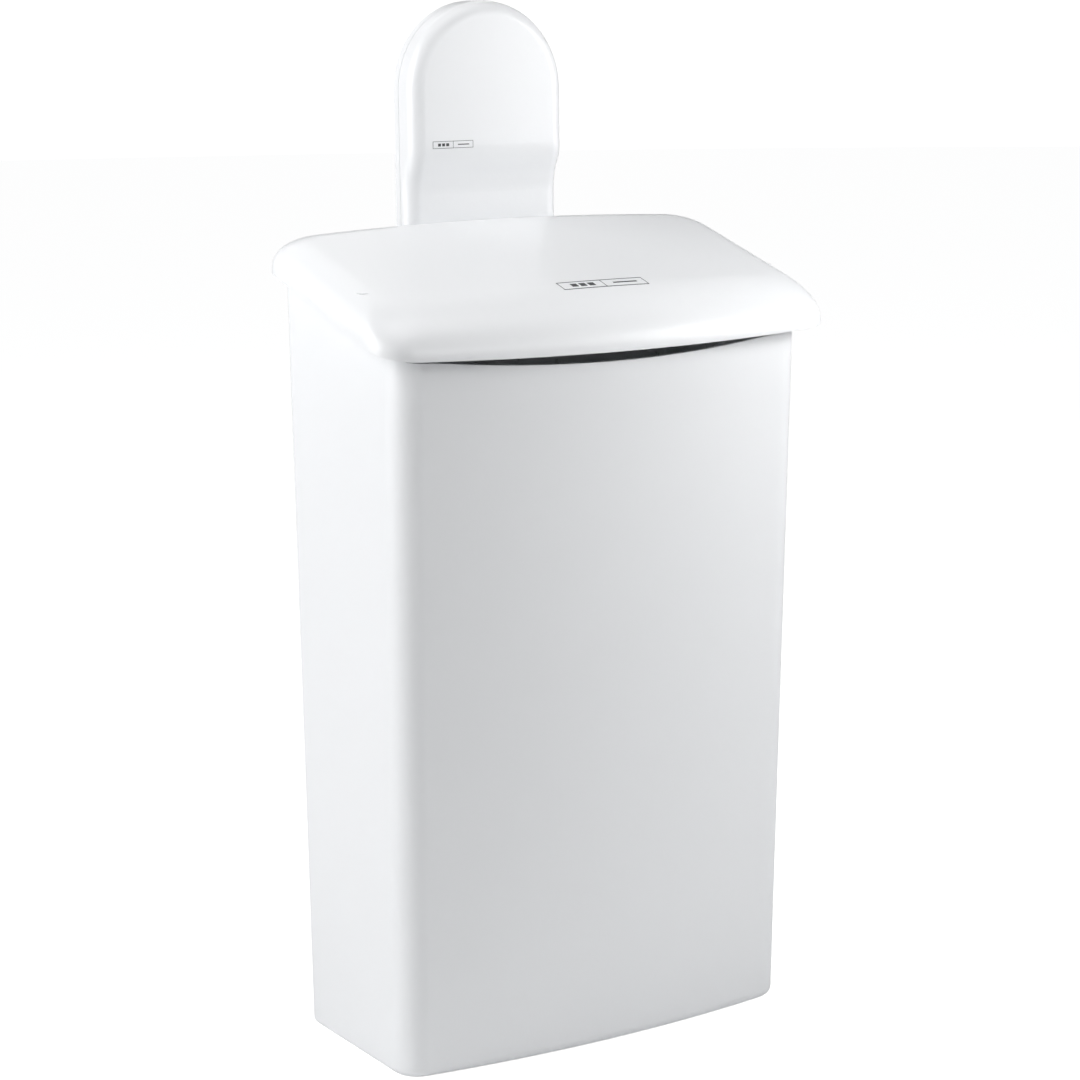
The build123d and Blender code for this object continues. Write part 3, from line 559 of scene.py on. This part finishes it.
# place and size of the two marks
LID_MARK_X, LID_MARK_FROM_FRONT, LID_MARK_SIZE = 5 * MM, 38.8 * MM, (64.5 * MM, 11.4 * MM)
COVER_MARK_X, COVER_MARK_Z, COVER_MARK_SIZE = 30 * MM, 57.5 * MM, (31 * MM, 4.8 * MM)


def printed_mark(name, body, target, centre, up, size):
    """Thin raised print that follows the surface of a piece."""
    bpy.context.view_layer.update()
    surface = BVHTree.FromObject(target, bpy.context.evaluated_depsgraph_get())
    width, height = size
    facing = RIGHT.cross(up)
    shape = bmesh.new()
    for left, bottom, right, top in MARK_BARS:
        columns = max(1, round((right - left) * width / PRINT_STEP))
        rings = []
        for k in range(columns + 1):
            u = (left + (right - left) * k / columns - 0.5) * width
            ring = []
            for v, lift in ((bottom, -PRINT_H), (top, -PRINT_H), (top, PRINT_H), (bottom, PRINT_H)):
                on_plane = centre + RIGHT * u + up * ((v - 0.5) * height)
                start = on_plane + facing * PRINT_RAY_START
                ring.append(surface.ray_cast(start, -facing)[0] + facing * lift)
            rings.append(ring)
        capped_loft(shape, rings)
    finish_piece(shape, name, body, INK)


def build_marks(lid):
    """The marks on the lid's front roll and on the dispenser's cover."""
    y = LID_FRONT + LID_MARK_FROM_FRONT
    centre = Vector((LID_MARK_X, y, lid_rim_z(y) + LID_MID_T))
    up = Vector((0, 1, LID_SLOPE)).normalized()
    printed_mark("lid_mark", "lid", lid, centre, up, LID_MARK_SIZE)
    low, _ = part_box("dispenser_cover")
    centre = Vector((low.x + COVER_MARK_X, low.y, low.z + COVER_MARK_Z))
    printed_mark("dispenser_mark", "dispenser_door", frame["nodes"]["dispenser_cover"], centre,
                 UPWARD, COVER_MARK_SIZE)


# ---- liner film ----
LINER_LOW, LINER_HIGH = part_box("liner_bag")
RING_LOW, RING_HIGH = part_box("bag_frame")
FILM_COLUMNS, FILM_ROWS, FOOT_ROWS = 400, 120, 12
FILM_T = 0.25 * MM
# the film over the frame's ring, from its hem inwards: distance outside the liner's wall, and
# height over the ring's top
LIP_PROFILE = [(9.6 * MM, -7 * MM), (9.9 * MM, -2 * MM), (9.7 * MM, 0.8 * MM),
               (8.6 * MM, 1.5 * MM), (4.0 * MM, 1.2 * MM), (1.6 * MM, 0.7 * MM),
               (0.6 * MM, -1.2 * MM)]
HEM_BELOW, HEM_WAVE = -5 * MM, 3 * MM
WALL_PROBE_DROP = 4 * MM
SLACK, CORNER_SLACK, FOLD_DEPTH, LEAST_SLACK = 3.4 * MM, 6 * MM, 2.8 * MM, 0.2 * MM
WALL_START_DROP, FOOT_H = 1.5 * MM, 6 * MM
FOOT_LIFT, FOOT_CREASE, FOOT_REACH = 1.2 * MM, 2.2 * MM, 0.985


def fold(u, z):
    """Loose vertical pleats and cross creases of the film, from about -1 to 1.

    u is the share of the way round. It is folded back on itself, so the two ends meet.
    """
    u = abs(u - 0.5) * 2
    pleats = noise.noise(Vector((u * 34, z * 2.2, 2.0)))
    fine = noise.noise(Vector((u * 95 + 7, z * 6.0, 5.0)))
    cross = noise.noise(Vector((u * 20, z * 26.0, 11.0)))
    return 0.62 * pleats + 0.28 * fine + 0.22 * cross


def film_slack(hit, centre, u, t):
    """How far the film hangs inside the liner's wall, a share t of the way down."""
    corner = abs(math.sin(2 * math.atan2(hit.y - centre.y, (hit.x - centre.x) / 2)))
    loose = min(1.0, t * 3.2) * (1 + 0.5 * math.sin(math.pi * t))
    return loose * (SLACK + CORNER_SLACK * corner ** 6 + FOLD_DEPTH * fold(u, hit.z))


def film_column(wall, centre, outward, u):
    """One line of the film, from its hem over the ring and down to the middle of the floor."""
    seam = abs(noise.noise(Vector((u * 60, 1.5, 0))))
    probe = Vector((centre.x, centre.y, RING_LOW.z - WALL_PROBE_DROP))
    top, normal, _, _ = wall.ray_cast(probe, outward)
    normal = -normal if normal.dot(outward) < 0 else normal
    normal.z = 0
    column = []
    for out, rise in LIP_PROFILE:
        hem = rise - (HEM_WAVE * seam if rise < HEM_BELOW else 0)
        column.append(Vector((top.x, top.y, RING_HIGH.z + hem)) + normal * out)
    top_z, foot_z = RING_HIGH.z - WALL_START_DROP, LINER_LOW.z + FOOT_H
    for row in range(FILM_ROWS):
        t = (row + 1) / FILM_ROWS
        z = top_z - (top_z - foot_z) * t
        hit = wall.ray_cast(Vector((centre.x, centre.y, z)), outward)[0]
        column.append(hit - outward * max(film_slack(hit, centre, u, t), LEAST_SLACK))
    last = column[-1]
    for step in range(FOOT_ROWS):
        t = (step + 1) / FOOT_ROWS
        point = last.lerp(Vector((centre.x, centre.y, last.z)), FOOT_REACH * t)
        crease = noise.noise(Vector((point.x * 30, point.y * 30, 4.0)))
        point.z = LINER_LOW.z + FOOT_H * (1 - t) ** 2 + FOOT_LIFT + FOOT_CREASE * abs(crease)
        column.append(point)
    return column


def film_rings():
    """Rings of the film: hem outside the frame's ring, over it, down the inside, closed below."""
    wall = BVHTree.FromObject(frame["nodes"]["liner_bag"], bpy.context.evaluated_depsgraph_get())
    centre, half = (LINER_LOW + LINER_HIGH) / 2, (LINER_HIGH - LINER_LOW) / 2
    columns = []
    for k in range(FILM_COLUMNS):
        a = math.tau * k / FILM_COLUMNS
        outward = Vector((half.x * math.cos(a), half.y * math.sin(a), 0)).normalized()
        columns.append(film_column(wall, centre, outward, k / FILM_COLUMNS))
    return [list(ring) for ring in zip(*columns)]


def build_liner():
    """The waste liner as thin film that hangs loose in folds inside the bin."""
    shape = bmesh.new()
    made = loft(shape, film_rings())
    shape.faces.new(made[-1])
    film = finish_piece(shape, "liner_film", "bag_holder", MATERIALS["bag_film"], ["liner_bag"],
                        sharp_deg=170)
    thick = film.modifiers.new("thickness", "SOLIDIFY")
    thick.thickness, thick.offset = FILM_T, 0.0


# ---- carton and bags ----
BOARD_T, BOARD_WEAR = 0.5 * MM, 0.12 * MM
THUMB_RADIUS, THUMB_STEPS = 12 * MM, 16
FLAP_REACH, FLAP_TURN = 6 * MM, 3 * MM


def carton_faces(shape, low, high):
    """The two broad walls, each with a thumb notch in its open end."""
    mid_z = (low.z + high.z) / 2
    notch = [(high.x - THUMB_RADIUS * math.sin(a), mid_z - THUMB_RADIUS * math.cos(a))
             for a in (math.pi * k / THUMB_STEPS for k in range(THUMB_STEPS + 1))]
    outline = [(low.x, low.z), (high.x, low.z), *notch, (high.x, high.z), (low.x, high.z)]
    for y in (low.y + BOARD_T / 2, high.y - BOARD_T / 2):
        bar(shape, [Vector((x, y, z)) for x, z in outline], BOARD_T / 2, BACKWARD)


def carton_flaps(shape, low, high):
    """The narrow bottom and top walls, each ending in a bent-out flap."""
    y0, y1 = low.y + BOARD_T, high.y - BOARD_T
    up = UPWARD * (BOARD_T / 2)
    for z, turn in ((low.z + BOARD_T / 2, -FLAP_TURN), (high.z - BOARD_T / 2, FLAP_TURN)):
        side = [(low.x, z), (high.x, z), (high.x + FLAP_REACH, z + turn)]
        points = [Vector((x, (y0 + y1) / 2, h)) for x, h in side]
        bar(shape, [p - up for p in points] + [p + up for p in points[::-1]], (y1 - y0) / 2,
            BACKWARD)


def carton_end(shape, low, high):
    """The closed end: a full panel with a half panel folded over it."""
    y0, y1, low_z = low.y + BOARD_T, high.y - BOARD_T, low.z + BOARD_T
    mid_z = (low.z + high.z) / 2
    for x, top_z in ((low.x + BOARD_T / 2, high.z - BOARD_T), (low.x + 1.6 * BOARD_T, mid_z)):
        corners = [(y0, low_z), (y1, low_z), (y1, top_z), (y0, top_z)]
        bar(shape, [Vector((x, y, z)) for y, z in corners], BOARD_T / 2, RIGHT)


def build_carton():
    """The bag carton: folded board with a thumb notch, an open end and bent-out flaps."""
    low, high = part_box("bag_carton")
    shape = bmesh.new()
    carton_faces(shape, low, high)
    carton_flaps(shape, low, high)
    carton_end(shape, low, high)
    carton = finish_piece(shape, "carton_board", "wall_unit", MATERIALS["carton_board"],
                          ["bag_carton"])
    worn = carton.modifiers.new("worn_edges", "BEVEL")
    worn.width, worn.segments = BOARD_WEAR, 2


PACKETS, PACKET_COLUMNS, PACKET_ROWS = 8, 44, 30
# half thickness as a share of the pitch, and the shares of it that are even and creased
PUFF, EVEN, CREASED = 0.42, 0.86, 0.14
FOLD_RIPPLE, FOLDS = 0.036 * MM, 6
UNEVEN_X, UNEVEN_Z = 0.6 * MM, 0.5 * MM


def packet_side(low, high, pitch, packet, facing):
    """A grid of points over the front (facing -1) or the back (facing 1) of a packet."""
    y = low.y + (packet + 0.5) * pitch
    right, top = high.x - UNEVEN_X * (packet % 3), high.z - UNEVEN_Z * (packet % 2)
    grid = []
    for i in range(PACKET_COLUMNS + 1):
        line = []
        for j in range(PACKET_ROWS + 1):
            u, v = i / PACKET_COLUMNS, j / PACKET_ROWS
            x, z = low.x + (right - low.x) * u, low.z + (top - low.z) * v
            edge = (1 - abs(2 * u - 1) ** 12) * (1 - abs(2 * v - 1) ** 10)
            crease = noise.noise(Vector((x * 70, z * 160, packet * 5.0 + facing)))
            puff = pitch * PUFF * max(edge, 0.0) ** 0.5 * (EVEN + CREASED * crease)
            ripple = FOLD_RIPPLE * math.cos(v * math.pi * FOLDS) * edge
            line.append(Vector((x, y + facing * (puff + ripple), z)))
        grid.append(line)
    return grid


def add_packet(shape, front, back):
    """A closed packet from the grids of points of its two sides."""
    a, b = ([[shape.verts.new(p) for p in line] for line in grid] for grid in (front, back))
    for grid in (a, b):
        for i in range(PACKET_COLUMNS):
            for j in range(PACKET_ROWS):
                shape.faces.new((grid[i][j], grid[i + 1][j], grid[i + 1][j + 1], grid[i][j + 1]))
    rim = [(i, 0) for i in range(PACKET_COLUMNS)]
    rim += [(PACKET_COLUMNS, j) for j in range(PACKET_ROWS)]
    rim += [(i, PACKET_ROWS) for i in range(PACKET_COLUMNS, 0, -1)]
    rim += [(0, j) for j in range(PACKET_ROWS, 0, -1)]
    for (i, j), (m, n) in zip(rim, rim[1:] + rim[:1]):
        shape.faces.new((a[i][j], a[m][n], b[m][n], b[i][j]))


def build_packets():
    """The folded film bags: soft flat packets with rounded, slightly uneven edges."""
    low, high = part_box("bag_stack")
    pitch = (high.y - low.y) / PACKETS
    shape = bmesh.new()
    for packet in range(PACKETS):
        add_packet(shape, packet_side(low, high, pitch, packet, -1),
                   packet_side(low, high, pitch, packet, 1))
    packets = finish_piece(shape, "bag_packets", "wall_unit", MATERIALS["hygiene_film"],
                           ["bag_stack"], sharp_deg=100)


# ---- camera, lights and floor ----
CAMERA_PLACE = (-0.97192, -1.56634, 0.68146)
CAMERA_YAW, CAMERA_PITCH, CAMERA_ROLL = (math.radians(a) for a in (31.586, -10.712, -0.765))
CAMERA_LENS, CAMERA_SENSOR = 93.71, 36.0
STUDIO_TINT, STUDIO_LIGHT, BACKDROP_WHITE = (0.94, 0.97, 1.0, 1), 0.04, 1.1
FLOOR_RADIUS, FLOOR_SIDES, FLOOR_GLOW = 12.0, 96, 0.95


def aim(obj, forward, roll=0.0):
    """Turns a camera or light to look along forward."""
    turn = forward.to_track_quat("-Z", "Y").to_matrix().to_4x4()
    obj.matrix_world = Matrix.Translation(obj.location) @ turn @ Matrix.Rotation(roll, 4, "Z")


def add_camera():
    """The camera at the photograph's viewing angle."""
    data = bpy.data.cameras.new("camera")
    data.lens, data.sensor_width = CAMERA_LENS, CAMERA_SENSOR
    camera = new_object("camera", data)
    camera.location = CAMERA_PLACE
    level = math.cos(CAMERA_PITCH)
    forward = Vector((math.sin(CAMERA_YAW) * level, math.cos(CAMERA_YAW) * level,
                      math.sin(CAMERA_PITCH)))
    aim(camera, forward, CAMERA_ROLL)
    bpy.context.scene.camera = camera


# name: azimuth and elevation in degrees, distance, height it is aimed at, width, height, watts
SOFTBOXES = {
    "left_side": (-104, 22, 1.7, 0.34, 1.0, 1.4, 19.2),
    "left_top": (-98, 24, 0.75, 0.50, 0.4, 0.4, 1.4),
    "right_front": (62, 22, 0.9, 0.34, 0.35, 0.4, 2.0),
    "right_top": (48, 14, 0.7, 0.52, 0.35, 0.3, 2.4),
    "front_top": (8, 12, 0.9, 0.62, 0.5, 0.3, 1.35),
    "overhead": (10, 84, 1.5, 0.34, 1.0, 0.9, 6.4),
    "low_front": (-25, -6, 1.6, 0.3, 1.0, 0.3, 2.2),
    "back_high": (165, 50, 1.8, 0.34, 1.2, 0.8, 4.2),
}


def add_lights():
    """Large soft area lights round the object, each aimed at a height on its middle."""
    middle = (cad_low + cad_high) / 2
    for name, (azimuth, elevation, distance, target, width, height, watts) in SOFTBOXES.items():
        centre = Vector((middle.x, middle.y, target))
        data = bpy.data.lights.new(name, "AREA")
        data.shape, data.size, data.size_y, data.energy = "RECTANGLE", width, height, watts
        light = new_object(name, data)
        a, e = math.radians(azimuth), math.radians(elevation)
        away = Vector((math.sin(a) * math.cos(e), -math.cos(a) * math.cos(e), math.sin(e)))
        light.location = centre + away * distance
        aim(light, -away)


def add_world():
    """Plain studio surroundings: dim for lighting the object, white as a backdrop."""
    world = bpy.data.worlds.new("studio")
    bpy.context.scene.world = world
    world.use_nodes = True
    tree = world.node_tree
    background = tree.nodes["Background"]
    background.inputs["Color"].default_value = STUDIO_TINT
    background.inputs["Strength"].default_value = STUDIO_LIGHT
    backdrop = tree.nodes.new("ShaderNodeBackground")
    backdrop.inputs["Color"].default_value = (1, 1, 1, 1)
    backdrop.inputs["Strength"].default_value = BACKDROP_WHITE
    seen = tree.nodes.new("ShaderNodeLightPath").outputs["Is Camera Ray"]
    mix = tree.nodes.new("ShaderNodeMixShader")
    tree.links.new(seen, mix.inputs[0])
    tree.links.new(background.outputs[0], mix.inputs[1])
    tree.links.new(backdrop.outputs[0], mix.inputs[2])
    tree.links.new(mix.outputs[0], tree.nodes["World Output"].inputs["Surface"])


def add_floor():
    """A wide, pale, matt floor under the bin, lit up for the camera only."""
    mesh = bpy.data.meshes.new("floor")
    shape = bmesh.new()
    bmesh.ops.create_circle(shape, cap_ends=True, segments=FLOOR_SIDES,
                            radius=FLOOR_RADIUS)
    shape.to_mesh(mesh)
    shape.free()
    floor = new_object("floor", mesh)
    material, tree, shader, coords = new_material("floor")
    cloud = noise_field(tree, coords, 1.5)
    tree.links.new(tint(tree, cloud, (0.9, 0.9, 0.9), (0.88, 0.885, 0.89)),
                   shader.inputs["Base Color"])
    shader.inputs["Roughness"].default_value = 0.9
    shader.inputs["Specular IOR Level"].default_value = 0.1
    seen = tree.nodes.new("ShaderNodeLightPath").outputs["Is Camera Ray"]
    glow = remap(tree, seen, 0.0, 1.0, 0.0, FLOOR_GLOW)
    shader.inputs["Emission Color"].default_value = (1, 1, 1, 1)
    tree.links.new(glow, shader.inputs["Emission Strength"])
    mesh.materials.append(material)


dress_cad_nodes()
lid_piece = build_lid()
build_ribs()
build_liner()
build_carton()
build_packets()
build_marks(lid_piece)
add_floor()
add_world()
add_lights()
add_camera()
bpy.context.scene.view_settings.view_transform = "Standard"
